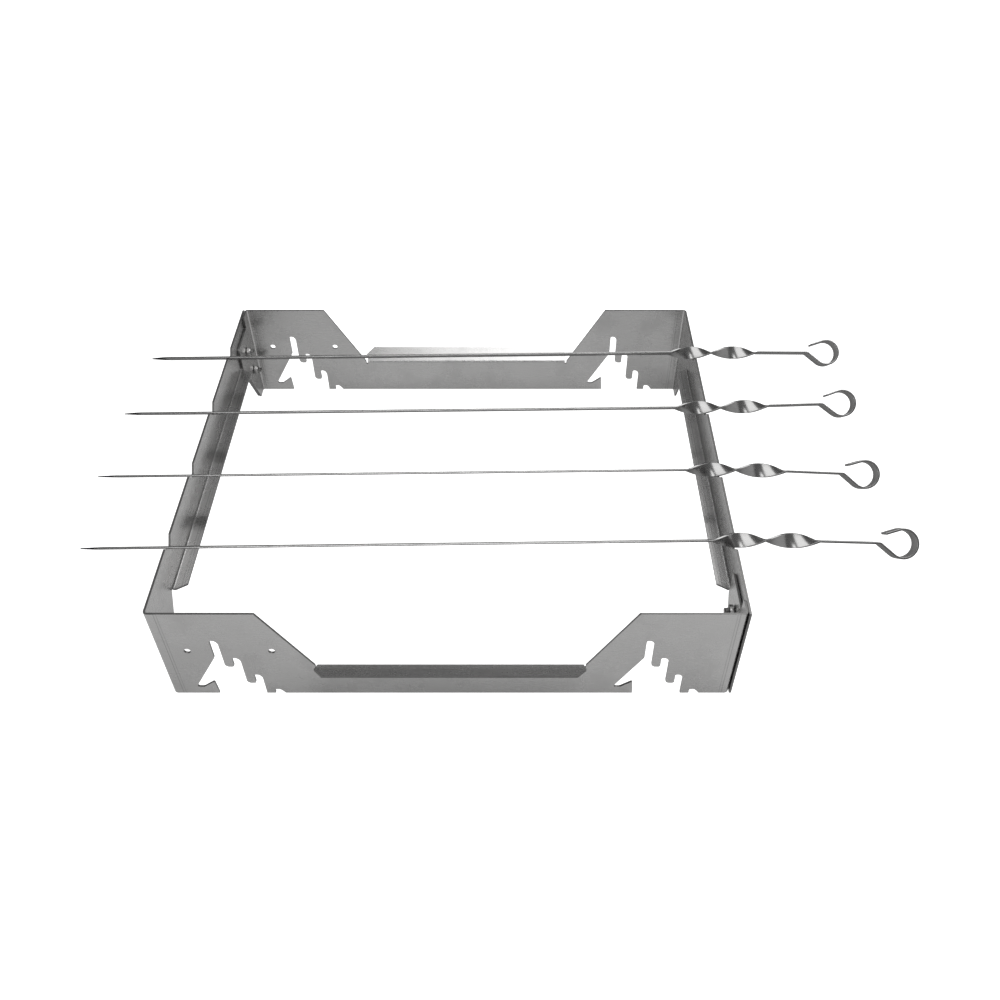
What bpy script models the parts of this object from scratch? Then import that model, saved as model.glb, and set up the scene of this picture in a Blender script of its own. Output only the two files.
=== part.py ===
"""Grill-top skewer rack: two bent steel sheets bolted into a rectangular frame that carries four flat skewers.

X runs along the skewers, from their points to their rings. Y runs from the front wall to the rear wall, Z is up.
The origin is under the middle of the whole object, on the plane the frame stands on. Sizes are in metres.
"""

import math

import bmesh
import bpy
from mathutils import Matrix, Vector
from mathutils.geometry import tessellate_polygon

# Frame, over its outer faces
FRAME_WIDTH = 0.375
FRAME_DEPTH = 0.327
FRAME_HEIGHT = 0.084
SHEET = 0.0015
CORNER_INNER_RADIUS = 0.0015
FOLD_INNER_RADIUS = 0.001
SLOPE = math.radians(30)
GAP = 0.0003

# Ears of the front and rear walls, and the low strip between them with its raised outward lip
EAR_WIDTH = 0.0685
STRIP_HEIGHT = 0.0295
LIP_FIRST_LENGTH = 0.0076
LIP_SECOND_LENGTH = 0.0074
LIP_FIRST_ANGLE = math.radians(65)
LIP_SECOND_ANGLE = math.radians(6)
LIP_END_FLARE = 0.0005
LIP_END_CHAMFER = 0.0060
RELIEF_WIDTH = 0.0014
RELIEF_DEPTH = 0.0010

# Side walls: a deep band between two legs, with a shelf folded inwards from its lower edge
BAND_DEPTH = 0.0290
LEG_FOOT = 0.0112
SHELF_REACH = 0.0090
SHELF_CHAMFER_START = 0.0020
SHELF_END_CHAMFER = 0.0044

# Tabs that overlap inside the side walls
TAB_SETBACK = 0.0005
TAB_SHOULDER = 0.0300
TAB_DROP = 0.0105
TAB_STEP = 0.0120

# Stepped cut-outs that hook over the rim of a grill
SLOT_WIDTH = 0.0052
SLOT_TOP = 0.0572
SLOT_PITCH = 0.0111
SLOT_STEP = 0.0182
SLOT_COUNT = 4
LAST_SLOT_TOP = 0.0043
TOOTH_DROP = 0.0276
SLOT_THROAT = 0.0395
LEFT_SLOT_INSET = 0.0380
RIGHT_SLOT_INSET = 0.0594
HOOK_NECK = 0.0072
HOOK_TIP = 0.0081
HOOK_TIP_HEIGHT = 0.0130
HOOK_SEAT_HEIGHT = 0.0068
HOOK_SEAT_NEAR = 0.0160
HOOK_SEAT_FAR = 0.0212
HOOK_SEAT_RADIUS = 0.0024
TOOTH_RADII = (0.0034, 0.0014)
SLOT_TOP_RADII = (0.0012, 0.0030)
SLOT_EASE_WIDTH = 0.0016
SLOT_EASE_HEIGHT = 0.0034

# Round holes of the left ears
EAR_HOLE_DIAMETER = 0.0045
EAR_HOLE_HEIGHT = 0.0466
EAR_HOLE_INSETS = (0.0195, 0.0736)

# Fasteners
SCREW_DIAMETER = 0.0040
SCREW_HEAD_DIAMETER = 0.0080
SCREW_HEAD_HEIGHT = 0.0026
SCREW_END = 0.0031
RECESS_WIDTH = 0.0011
RECESS_LENGTH = 0.0044
RECESS_DEPTH = 0.0014
NUT_FLATS = 0.0070
NUT_HEIGHT = 0.0032
NUT_CHAMFER = 0.0005
UPPER_BOLT_INSET = 0.0240
UPPER_BOLT_DROP = 0.0260
LOWER_BOLT_INSET = 0.0150
LOWER_BOLT_HEIGHT = 0.0320

# Skewers, from the point to the ring: a flat strip with one full twist before its round handle
STRIP_WIDTH = 0.0100
STRIP_THICKNESS = 0.0015
SKEWER_PITCH = 0.0684
POINT_LENGTH = 0.0140
POINT_WIDTH = 0.0012
BLADE_SURPLUS = 0.0400
TWIST_LENGTH = 0.0700
SHANK_LENGTH = 0.0397
BEND_RADIUS = 0.0030
RING_RADIUS = 0.00955
RING_OFFSET = 0.0152
RING_OPENING = math.radians(108)
RING_TAIL = 0.0090
POINT_OVERHANGS = (0.0555, 0.0640, 0.0640, 0.0605)
SHANK_SETS = tuple(math.radians(angle) for angle in (-2.3, -3.0, 1.1, -1.0))

# Right-angled notches that hold the skewers
NOTCH_DEPTH = 0.0070
TWIST_GAP = 0.00065

CORNER_STEPS = 8
FOLD_STEPS = 4
ROUND_STEPS = 24
FILLET_STEPS = 5
TWIST_STEPS = 48
RING_STEPS = 28

STEEL_SATIN = ((0.36, 0.36, 0.36), 0.34)
STEEL_BRIGHT = ((0.58, 0.58, 0.57), 0.16)
STEEL_PLATED = ((0.50, 0.50, 0.50), 0.28)

# Sizes that follow from the ones above
CORNER_OUTER_RADIUS = CORNER_INNER_RADIUS + SHEET
BOLT_HOLE_RADIUS = SCREW_DIAMETER / 2 + GAP
SHELF_HEIGHT = FRAME_HEIGHT - BAND_DEPTH
LEG_TOP = LEG_FOOT + (SHELF_HEIGHT + FOLD_INNER_RADIUS) * math.tan(SLOPE)
TAB_LENGTH = LEG_TOP - TAB_SETBACK
EAR_FOOT = EAR_WIDTH + (FRAME_HEIGHT - STRIP_HEIGHT) * math.tan(SLOPE)
BLADE_LENGTH = FRAME_WIDTH + BLADE_SURPLUS
RING_DIP = math.asin(RING_RADIUS / RING_OFFSET)
RING_RUN = RING_RADIUS / math.tan(RING_DIP)
SKEWER_LENGTH = BLADE_LENGTH + TWIST_LENGTH + SHANK_LENGTH + RING_OFFSET + RING_RADIUS + STRIP_THICKNESS / 2
POINT_END = -FRAME_WIDTH / 2 - max(POINT_OVERHANGS)
TWIST_MIDDLE = BLADE_LENGTH + TWIST_LENGTH / 2
RING_END = max(
    TWIST_MIDDLE + (SKEWER_LENGTH - TWIST_MIDDLE) * math.cos(turn) - FRAME_WIDTH / 2 - overhang
    for overhang, turn in zip(POINT_OVERHANGS, SHANK_SETS)
)
FRAME_MIDDLE = -(POINT_END + RING_END) / 2


# ---------------------------------------------------------------- outlines

def turned(x, z, angle):
    """A point turned about the origin by an angle."""
    return (
        x * math.cos(angle) - z * math.sin(angle),
        x * math.sin(angle) + z * math.cos(angle),
    )


def circle(centre_x, centre_z, radius, steps=ROUND_STEPS):
    """Points of a full circle."""
    points = []
    for step in range(steps):
        x, z = turned(radius, 0, math.tau * step / steps)
        points.append((centre_x + x, centre_z + z))
    return points


def filleted(corners):
    """An outline whose corners (x, z, radius) are rounded, each radius limited by its edges."""
    points = []
    for index, (x, z, radius) in enumerate(corners):
        here = Vector((x, z))
        before = Vector(corners[index - 1][:2]) - here
        after = Vector(corners[(index + 1) % len(corners)][:2]) - here
        if radius <= 0:
            points.append((x, z))
            continue
        half = before.angle(after) / 2
        cut = radius / math.tan(half)
        cut = min(cut, before.length * 0.49, after.length * 0.49)
        start = here + before.normalized() * cut
        end = here + after.normalized() * cut
        centre = here + (before.normalized() + after.normalized()).normalized() * (cut / math.cos(half))
        points.extend(arc_between(centre, start, end))
    return points


def arc_between(centre, start, end):
    """Points from start to end along the short arc about a centre."""
    first = start - centre
    sweep = first.angle_signed(end - centre)
    points = []
    for step in range(FILLET_STEPS + 1):
        angle = -sweep * step / FILLET_STEPS
        x, z = turned(first.x, first.y, angle)
        points.append((centre.x + x, centre.y + z))
    return points


# ---------------------------------------------------------------- meshes

def prism(outline, holes, thickness):
    """A closed plate in the XZ plane, from y = 0 to y = thickness, with holes through it."""
    loops = [outline] + holes
    flat = [Vector((x, 0, z)) for loop in loops for x, z in loop]
    faces = tessellate_polygon([[Vector((x, z, 0)) for x, z in loop] for loop in loops])
    shape = bmesh.new()
    front = [shape.verts.new(point) for point in flat]
    back = [shape.verts.new(point + Vector((0, thickness, 0))) for point in flat]
    for face in faces:
        shape.faces.new([front[index] for index in face])
        shape.faces.new([back[index] for index in reversed(face)])
    start = 0
    for loop in loops:
        count = len(loop)
        for step in range(count):
            a = start + step
            b = start + (step + 1) % count
            shape.faces.new((front[a], front[b], back[b], back[a]))
        start += count
    bmesh.ops.recalc_face_normals(shape, faces=shape.faces)
    return shape


def revolved(profile, steps=ROUND_STEPS):
    """A closed solid of revolution about the X axis from (x, radius) points that start and end on the axis."""
    shape = bmesh.new()
    rings = []
    for x, radius in profile:
        if radius == 0:
            rings.append([shape.verts.new((x, 0, 0))])
            continue
        rings.append([shape.verts.new((x, y, z)) for y, z in circle(0, 0, radius, steps)])
    for first, second in zip(rings, rings[1:]):
        for step in range(steps):
            after = (step + 1) % steps
            if len(first) == 1:
                shape.faces.new((first[0], second[step], second[after]))
            elif len(second) == 1:
                shape.faces.new((first[step], second[0], first[after]))
            else:
                shape.faces.new((first[step], second[step], second[after], first[after]))
    bmesh.ops.recalc_face_normals(shape, faces=shape.faces)
    return shape


def swept(stations):
    """A closed bar through rectangular stations: (centre, half width vector, half thickness vector)."""
    shape = bmesh.new()
    rings = []
    for centre, across, through in stations:
        corners = (across + through, across - through, -across - through, through - across)
        rings.append([shape.verts.new(centre + corner) for corner in corners])
    for first, second in zip(rings, rings[1:]):
        for step in range(4):
            after = (step + 1) % 4
            shape.faces.new((first[step], first[after], second[after], second[step]))
    shape.faces.new(rings[0])
    shape.faces.new(rings[-1])
    bmesh.ops.recalc_face_normals(shape, faces=shape.faces)
    return shape


def material(name, finish):
    """A steel with its own colour and roughness."""
    colour, roughness = finish
    steel = bpy.data.materials.new(name)
    steel.use_nodes = True
    shader = steel.node_tree.nodes["Principled BSDF"]
    shader.inputs["Base Color"].default_value = (*colour, 1)
    shader.inputs["Metallic"].default_value = 1
    shader.inputs["Roughness"].default_value = roughness
    return steel


def add_object(name, shape, finish, parent, matrix=None):
    """Turns a bmesh into a named object with its own material under a parent."""
    mesh = bpy.data.meshes.new(name)
    shape.to_mesh(mesh)
    shape.free()
    mesh.shade_smooth()
    mesh.set_sharp_from_angle(angle=math.radians(25))
    piece = bpy.data.objects.new(name, mesh)
    bpy.context.scene.collection.objects.link(piece)
    piece.parent = parent
    piece.matrix_local = matrix or Matrix.Identity(4)
    mesh.materials.append(material(name + "_steel", finish))
    return piece


# ---------------------------------------------------------------- folding

def fold_length(angle, radius):
    """Length of flat sheet that a fold takes up, on its middle plane."""
    return angle * (radius + SHEET / 2)


def slice_zone(shape, axis, start, length, steps):
    """Cuts a flat blank across a fold's zone, so that it can bend there."""
    for step in range(steps + 1):
        point = Vector((0, 0, 0))
        point[axis] = start + length * step / steps
        normal = Vector((0, 0, 0))
        normal[axis] = 1
        geometry = shape.verts[:] + shape.edges[:] + shape.faces[:]
        bmesh.ops.bisect_plane(shape, geom=geometry, dist=1e-7, plane_co=point, plane_no=normal)


def folded(along, across, start, way, angle, radius, inward):
    """Where a point of the flat sheet goes when it is folded.

    along is the coordinate that runs across the fold line, across the one through the sheet. Points past start in
    the direction way (1 or -1) turn by angle, towards +across when inward is true. radius is the inner one.
    """
    past = (along - start) * way
    if past <= 0:
        return along, across
    centre = SHEET + radius if inward else -radius
    side = 1 if inward else -1
    arm = (centre - across) * side
    length = fold_length(angle, radius)
    turn = angle * min(past / length, 1)
    rest = max(past - length, 0)
    new_along = start + way * (arm * math.sin(turn) + rest * math.cos(turn))
    new_across = centre - side * (arm * math.cos(turn) - rest * math.sin(turn))
    return new_along, new_across


# ---------------------------------------------------------------- frame halves

CORNER_LENGTH = fold_length(math.pi / 2, CORNER_INNER_RADIUS)
SIDE_FOLD_X = -FRAME_WIDTH / 2 + CORNER_OUTER_RADIUS
TAB_FOLD_X = FRAME_WIDTH / 2 - SHEET - GAP - CORNER_OUTER_RADIUS
SHELF_FOLD_Z = SHELF_HEIGHT + FOLD_INNER_RADIUS
SHELF_FOLD_LENGTH = fold_length(math.pi / 2, FOLD_INNER_RADIUS)
SHELF_END_Z = SHELF_FOLD_Z - SHELF_FOLD_LENGTH - (SHELF_REACH - FOLD_INNER_RADIUS)
SHELF_CHAMFER_Z = SHELF_FOLD_Z - SHELF_FOLD_LENGTH - (SHELF_CHAMFER_START - FOLD_INNER_RADIUS)
LIP_FOLD_LENGTH = fold_length(LIP_FIRST_ANGLE, FOLD_INNER_RADIUS)
LIP_SECOND_Z = STRIP_HEIGHT + LIP_FIRST_LENGTH
LIP_SECOND_FOLD_LENGTH = fold_length(LIP_SECOND_ANGLE, FOLD_INNER_RADIUS)
LIP_END_Z = LIP_SECOND_Z + LIP_SECOND_LENGTH


def side_x(distance):
    """Place on the flat blank of a point of the side wall, this far from the long wall's outer face."""
    return SIDE_FOLD_X - CORNER_LENGTH - (distance - CORNER_OUTER_RADIUS)


def tab_x(distance):
    """Place on the flat blank of a point of the tab, this far from the long wall's outer face."""
    return TAB_FOLD_X + CORNER_LENGTH + (distance - CORNER_OUTER_RADIUS)


def skewer_offsets():
    """Places of the skewers' notches along the side walls, from the middle of the frame."""
    count = len(POINT_OVERHANGS)
    return [SKEWER_PITCH * (index - (count - 1) / 2) for index in range(count)]


def bolt_places():
    """(distance from the corner, height) of the two bolts of a corner."""
    upper = (UPPER_BOLT_INSET, FRAME_HEIGHT - UPPER_BOLT_DROP)
    return upper, (LOWER_BOLT_INSET, LOWER_BOLT_HEIGHT)


def comb_corners(slot_x, way):
    """Corners of one stepped cut-out, in order of x; its slots step down towards way."""
    half = SLOT_WIDTH / 2
    corners = [
        (-HOOK_NECK, 0, 0),
        (-HOOK_TIP, HOOK_TIP_HEIGHT, 0.0007),
        (-HOOK_SEAT_NEAR, HOOK_SEAT_HEIGHT, HOOK_SEAT_RADIUS),
        (-HOOK_SEAT_FAR, HOOK_SEAT_HEIGHT, HOOK_SEAT_RADIUS),
        (-half, SLOT_THROAT, 0.0025),
    ]
    for index in range(SLOT_COUNT):
        centre = SLOT_PITCH * index
        top = max(SLOT_TOP - SLOT_STEP * index, LAST_SLOT_TOP)
        tooth = max(SLOT_TOP - SLOT_STEP * index - TOOTH_DROP, 0)
        corners.append((centre - half, top, SLOT_TOP_RADII[0]))
        corners.append((centre + half - SLOT_EASE_WIDTH, top, SLOT_TOP_RADII[1]))
        if index == SLOT_COUNT - 1:
            corners.append((centre + half + SLOT_EASE_WIDTH, 0, 0))
            break
        corners.append((centre + half, top - SLOT_EASE_HEIGHT, SLOT_TOP_RADII[1]))
        corners.append((centre + half, tooth, TOOTH_RADII[0] if tooth else 0))
        corners.append((centre + SLOT_PITCH - half, tooth, TOOTH_RADII[1] if tooth else 0))
    placed = [(slot_x + way * x, z, radius) for x, z, radius in corners]
    return placed if way > 0 else placed[::-1]


def shelf_corners():
    """Lower edge of the side wall, from its far leg to its near leg, in the flat."""
    relief = SHELF_FOLD_Z + RELIEF_DEPTH
    end = LEG_TOP + RELIEF_WIDTH
    near = [
        (end + SHELF_END_CHAMFER, SHELF_END_Z),
        (end, SHELF_CHAMFER_Z),
        (end, relief),
        (LEG_TOP, relief),
        (LEG_TOP, SHELF_FOLD_Z),
        (LEG_FOOT, 0),
    ]
    far = [(FRAME_DEPTH - distance, z) for distance, z in reversed(near)]
    return [(side_x(distance), z, 0) for distance, z in [(FRAME_DEPTH, 0)] + far + near]


def tab_corners():
    """Outline of the tab, from its foot to its top, in the flat."""
    shoulder = FRAME_HEIGHT - TAB_SHOULDER
    top = FRAME_HEIGHT - TAB_DROP
    return [
        (tab_x(TAB_LENGTH - shoulder * math.tan(SLOPE)), 0, 0),
        (tab_x(TAB_LENGTH), shoulder, 0.001),
        (tab_x(TAB_LENGTH), top, 0.0015),
        (tab_x(TAB_STEP), top, 0.0008),
        (tab_x(TAB_STEP), FRAME_HEIGHT, 0.001),
    ]


def lip_corners():
    """Top edge of the long wall, from its right ear to its left ear, in the flat."""
    half_width = FRAME_WIDTH / 2
    foot = half_width - EAR_FOOT
    relief = STRIP_HEIGHT - RELIEF_DEPTH
    right = [
        (half_width - EAR_WIDTH, FRAME_HEIGHT, 0.001),
        (foot + RELIEF_WIDTH / 2, STRIP_HEIGHT + RELIEF_WIDTH / 2 / math.tan(SLOPE), 0),
        (foot + RELIEF_WIDTH / 2, relief, 0),
        (foot - RELIEF_WIDTH / 2, relief, 0),
        (foot - RELIEF_WIDTH / 2, STRIP_HEIGHT + LIP_FOLD_LENGTH, 0),
        (foot + LIP_END_FLARE, LIP_SECOND_Z, 0),
        (foot + LIP_END_FLARE - LIP_END_CHAMFER, LIP_END_Z, 0.001),
    ]
    left = [(-x, z, radius) for x, z, radius in reversed(right)]
    return right + left


def notch_corners(offset):
    """Corners of one skewer's V notch in the side wall's top edge."""
    distance = FRAME_DEPTH / 2 - offset
    return [
        (side_x(distance - NOTCH_DEPTH), FRAME_HEIGHT, 0),
        (side_x(distance), FRAME_HEIGHT - NOTCH_DEPTH, 0),
        (side_x(distance + NOTCH_DEPTH), FRAME_HEIGHT, 0),
    ]


def half_blank(slots, ear_holes):
    """The flat sheet of one frame half, with every cut-out, before it is folded."""
    corners = shelf_corners()
    for slot_x, way in sorted(slots):
        corners.extend(comb_corners(slot_x, way))
    corners.extend(tab_corners())
    corners.extend(lip_corners())
    for offset in reversed(skewer_offsets()):
        corners.extend(notch_corners(offset))
    corners.append((side_x(FRAME_DEPTH), FRAME_HEIGHT, 0.001))
    holes = [circle(x, EAR_HOLE_HEIGHT, EAR_HOLE_DIAMETER / 2, 16) for x in ear_holes]
    for inset, height in bolt_places():
        holes.append(circle(tab_x(inset), height, BOLT_HOLE_RADIUS, 16))
        holes.append(circle(side_x(FRAME_DEPTH - inset), height, BOLT_HOLE_RADIUS, 16))
    return prism(filleted(corners), holes, SHEET)


def fold_lip(x, y, z):
    """Folds a point of the raised lip outwards, and leaves the rest of the long wall."""
    ear_edge = FRAME_WIDTH / 2 - EAR_FOOT + (z - STRIP_HEIGHT) * math.tan(SLOPE)
    if z <= STRIP_HEIGHT or abs(x) > ear_edge - RELIEF_WIDTH / 4:
        return y, z
    z, y = folded(z, y, LIP_SECOND_Z, 1, LIP_SECOND_ANGLE, FOLD_INNER_RADIUS, False)
    z, y = folded(z, y, STRIP_HEIGHT, 1, LIP_FIRST_ANGLE, FOLD_INNER_RADIUS, False)
    return y, z


def fold_shelf(x, y, z):
    """Folds a point of the side wall's shelf inwards, and leaves the legs and the band."""
    end = LEG_TOP + RELIEF_WIDTH / 2
    if not side_x(FRAME_DEPTH - end) < x < side_x(end):
        return y, z
    z, y = folded(z, y, SHELF_FOLD_Z, -1, math.pi / 2, FOLD_INNER_RADIUS, True)
    return y, z


def fold_half(shape):
    """Folds a blank: the raised lip, the shelf of the side wall, then the two upright corners."""
    slice_zone(shape, 2, STRIP_HEIGHT, LIP_FOLD_LENGTH, FOLD_STEPS)
    slice_zone(shape, 2, LIP_SECOND_Z, LIP_SECOND_FOLD_LENGTH, 1)
    slice_zone(shape, 2, SHELF_FOLD_Z, -SHELF_FOLD_LENGTH, FOLD_STEPS)
    slice_zone(shape, 0, SIDE_FOLD_X, -CORNER_LENGTH, CORNER_STEPS)
    slice_zone(shape, 0, TAB_FOLD_X, CORNER_LENGTH, CORNER_STEPS)
    for vertex in shape.verts:
        x, y, z = vertex.co
        y, z = fold_lip(x, y, z)
        y, z = fold_shelf(x, y, z)
        x, y = folded(x, y, SIDE_FOLD_X, -1, math.pi / 2, CORNER_INNER_RADIUS, True)
        x, y = folded(x, y, TAB_FOLD_X, 1, math.pi / 2, CORNER_INNER_RADIUS, True)
        vertex.co = (x, y - FRAME_DEPTH / 2, z)
    bmesh.ops.recalc_face_normals(shape, faces=shape.faces)
    return shape


def build_frame(rack):
    """The front-left half and the rear-right half, which is turned half round but keeps its cut-outs' direction."""
    left_slot = -FRAME_WIDTH / 2 + LEFT_SLOT_INSET
    right_slot = FRAME_WIDTH / 2 - RIGHT_SLOT_INSET
    hole_xs = [-FRAME_WIDTH / 2 + inset for inset in EAR_HOLE_INSETS]
    front = half_blank([(left_slot, 1), (right_slot, 1)], hole_xs)
    rear = half_blank([(-left_slot, -1), (-right_slot, -1)], [-x for x in hole_xs])
    add_object("frame_front_left", fold_half(front), STEEL_SATIN, rack)
    half_turn = Matrix.Rotation(math.pi, 4, "Z")
    add_object("frame_rear_right", fold_half(rear), STEEL_SATIN, rack, half_turn)


# ---------------------------------------------------------------- fasteners

def screw_shape():
    """A pan-head screw along +X: the head's underside is at x = 0, the head on the -X side."""
    radius = SCREW_DIAMETER / 2
    head = SCREW_HEAD_DIAMETER / 2
    length = 2 * SHEET + 3 * GAP + NUT_HEIGHT + SCREW_END
    dome = SCREW_HEAD_HEIGHT * 0.62
    profile = [(-SCREW_HEAD_HEIGHT, 0)]
    for step in range(1, 6):
        turn = math.pi / 2 * step / 5
        profile.append((-SCREW_HEAD_HEIGHT + dome * (1 - math.cos(turn)), head * math.sin(turn)))
    profile.extend([(0, head), (0, radius), (length - 0.0006, radius), (length, radius - 0.0005), (length, 0)])
    return revolved(profile)


def recess_shape():
    """The cross that is cut into a screw's head."""
    half_length = RECESS_LENGTH / 2
    half_width = RECESS_WIDTH / 2
    quarter = [(half_width, half_width), (half_width, half_length), (-half_width, half_length)]
    outline = []
    for turn in range(4):
        outline.extend(turned(x, z, math.pi / 2 * turn) for x, z in quarter)
    shape = prism(outline, [], RECESS_DEPTH + SCREW_HEAD_HEIGHT)
    turn = Matrix.Rotation(math.pi / 2, 4, "Z")
    move = Matrix.Translation((RECESS_DEPTH - SCREW_HEAD_HEIGHT, 0, 0))
    bmesh.ops.transform(shape, matrix=move @ turn, verts=shape.verts)
    return shape


def nut_shape():
    """A hexagon nut along X from x = 0, its outer corners turned down, with a plain bore that clears the screw."""
    corner = NUT_FLATS / 2 / math.cos(math.pi / 6)
    sides = (
        (0, NUT_FLATS / 2 - NUT_CHAMFER / 2),
        (NUT_CHAMFER, corner),
        (NUT_HEIGHT - NUT_CHAMFER, corner),
        (NUT_HEIGHT, NUT_FLATS / 2 - NUT_CHAMFER / 2),
    )
    shape = bmesh.new()
    rings = []
    for x, reach in sides:
        points = [hexagon_point(math.tau * step / ROUND_STEPS, reach) for step in range(ROUND_STEPS)]
        rings.append([shape.verts.new((x, y, z)) for y, z in points])
    for x in (NUT_HEIGHT, 0):
        rings.append([shape.verts.new((x, y, z)) for y, z in circle(0, 0, BOLT_HOLE_RADIUS)])
    rings.append(rings[0])
    for first, second in zip(rings, rings[1:]):
        for step in range(ROUND_STEPS):
            after = (step + 1) % ROUND_STEPS
            shape.faces.new((first[step], second[step], second[after], first[after]))
    bmesh.ops.recalc_face_normals(shape, faces=shape.faces)
    return shape


def hexagon_point(angle, reach):
    """The point at this angle on a hexagon of NUT_FLATS whose corners are cut back to a circle of radius reach."""
    from_flat = (angle + math.pi / 6) % (math.pi / 3) - math.pi / 6
    radius = min(NUT_FLATS / 2 / math.cos(from_flat), reach)
    return turned(radius, 0, angle)


def cut_recess(piece, name, rack, matrix):
    """Cuts the cross recess with a hidden cutter."""
    cutter = add_object(name, recess_shape(), STEEL_PLATED, rack, matrix)
    cutter.hide_render = True
    cutter.display_type = "WIRE"
    cut = piece.modifiers.new("recess", "BOOLEAN")
    cut.operation = "DIFFERENCE"
    cut.solver = "EXACT"
    cut.object = cutter


def build_fasteners(rack):
    """Two screws with nuts at each bolted corner: rear left and front right."""
    head_x = -FRAME_WIDTH / 2 - GAP
    nut_x = -FRAME_WIDTH / 2 + 2 * SHEET + 2 * GAP
    for corner, turn in (("rear_left", 0), ("front_right", math.pi)):
        spin = Matrix.Rotation(turn, 4, "Z")
        for level, (inset, height) in zip(("upper", "lower"), bolt_places()):
            y = FRAME_DEPTH / 2 - inset
            at_head = spin @ Matrix.Translation((head_x, y, height))
            at_nut = spin @ Matrix.Translation((nut_x, y, height))
            screw = add_object(f"screw_{corner}_{level}", screw_shape(), STEEL_PLATED, rack, at_head)
            cut_recess(screw, f"recess_{corner}_{level}", rack, at_head)
            add_object(f"nut_{corner}_{level}", nut_shape(), STEEL_PLATED, rack, at_nut)


# ---------------------------------------------------------------- skewers

def station(x, y, heading, twist=0, width=STRIP_WIDTH, thickness=STRIP_THICKNESS):
    """A strip's section on a path in the XY plane, its width along Z until it is twisted about the path."""
    normal = Vector((-math.sin(heading), math.cos(heading), 0))
    up = Vector((0, 0, 1))
    across = up * math.cos(twist) + normal * math.sin(twist)
    through = normal * math.cos(twist) - up * math.sin(twist)
    return Vector((x, y, 0)), across * width / 2, through * thickness / 2


def blade_stations():
    """The pointed end of the blade, with its edges and its faces tapering to the point."""
    stations = []
    for step in range(7):
        share = step / 6
        width = POINT_WIDTH + (STRIP_WIDTH - POINT_WIDTH) * math.sin(share * math.pi / 2)
        thickness = STRIP_THICKNESS * (0.45 + 0.55 * share)
        stations.append(station(POINT_LENGTH * share, 0, 0, 0, width, thickness))
    return stations


def twist_angle(x):
    """How far the strip has turned at this distance from the point."""
    share = (x - BLADE_LENGTH) / TWIST_LENGTH
    return math.tau * min(max(share, 0), 1)


def twist_stations():
    """The full turn between the blade and the shank."""
    places = [BLADE_LENGTH + TWIST_LENGTH * step / TWIST_STEPS for step in range(TWIST_STEPS + 1)]
    return [station(x, 0, 0, twist_angle(x)) for x in places]


def ring_stations():
    """The end of the shank, the bend, the straight run, the ring and its straight tail."""
    bend_cut = BEND_RADIUS * math.tan(RING_DIP / 2)
    x = BLADE_LENGTH + TWIST_LENGTH + SHANK_LENGTH - bend_cut
    y = 0
    heading = 0
    stations = [station(x, y, heading)]
    legs = (
        (BEND_RADIUS, -RING_DIP, 6),
        (RING_RUN - bend_cut, 0, 1),
        (RING_RADIUS, RING_OPENING + math.pi / 2 + RING_DIP, RING_STEPS),
        (RING_TAIL, 0, 1),
    )
    for size, turn, steps in legs:
        for _ in range(steps):
            chord = 2 * size * math.sin(abs(turn) / steps / 2) if turn else size
            x += chord * math.cos(heading + turn / steps / 2)
            y += chord * math.sin(heading + turn / steps / 2)
            heading += turn / steps
            stations.append(station(x, y, heading))
    return stations


def with_set(stations, turn):
    """The stations with everything past the middle of the twist turned a little, as hand-bent skewers are."""
    pivot = Vector((TWIST_MIDDLE, 0, 0))
    rotation = Matrix.Rotation(turn, 3, "Z")
    return [
        tuple([pivot + rotation @ (parts[0] - pivot)] + [rotation @ part for part in parts[1:]])
        if parts[0].x > pivot.x else parts
        for parts in stations
    ]


def nested(lean, gap):
    """Centre of the strip above a notch's vertex when it rests on both flanks with its width at this angle."""
    halves = (STRIP_WIDTH / 2, STRIP_THICKNESS / 2)
    on_rear = halves[0] * abs(math.cos(lean + math.pi / 4)) + halves[1] * abs(math.sin(lean + math.pi / 4))
    on_front = halves[0] * abs(math.cos(lean - math.pi / 4)) + halves[1] * abs(math.sin(lean - math.pi / 4))
    return (on_front - on_rear) / math.sqrt(2), (on_front + on_rear + 2 * gap) / math.sqrt(2)


def skewer_matrix(overhang, offset):
    """Places a skewer on its two notches: flat against a flank at the left, on its twist at the right."""
    wall = FRAME_WIDTH / 2 - SHEET / 2
    lean = math.radians(135)
    right_lean = lean - twist_angle(overhang + FRAME_WIDTH - SHEET / 2)
    left_y, left_z = nested(lean, GAP)
    right_y, right_z = nested(right_lean, TWIST_GAP)
    vertex = FRAME_HEIGHT - NOTCH_DEPTH
    left = Vector((-wall, offset + left_y, vertex + left_z))
    right = Vector((wall, offset + right_y, vertex + right_z))
    along = (right - left).normalized()
    across = Vector((0, math.cos(lean), math.sin(lean)))
    through = across.cross(along).normalized()
    across = along.cross(through)
    matrix = Matrix((along, through, across)).transposed().to_4x4()
    matrix.translation = left - along * (overhang + SHEET / 2)
    return matrix


def build_skewers(rack):
    """Four skewers, each on a lifting axis that stands over the middle of the frame."""
    shape_stations = blade_stations() + twist_stations() + ring_stations()
    rows = zip(skewer_offsets(), POINT_OVERHANGS, SHANK_SETS)
    for index, (offset, overhang, turn) in enumerate(rows):
        axis = bpy.data.objects.new(f"lift_{index + 1}", None)
        bpy.context.scene.collection.objects.link(axis)
        axis.parent = rack
        axis.location = (0, offset, FRAME_HEIGHT - NOTCH_DEPTH)
        matrix = Matrix.Translation(-axis.location) @ skewer_matrix(overhang, offset)
        shape = swept(with_set(shape_stations, turn))
        add_object(f"skewer_{index + 1}", shape, STEEL_BRIGHT, axis, matrix)


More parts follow.
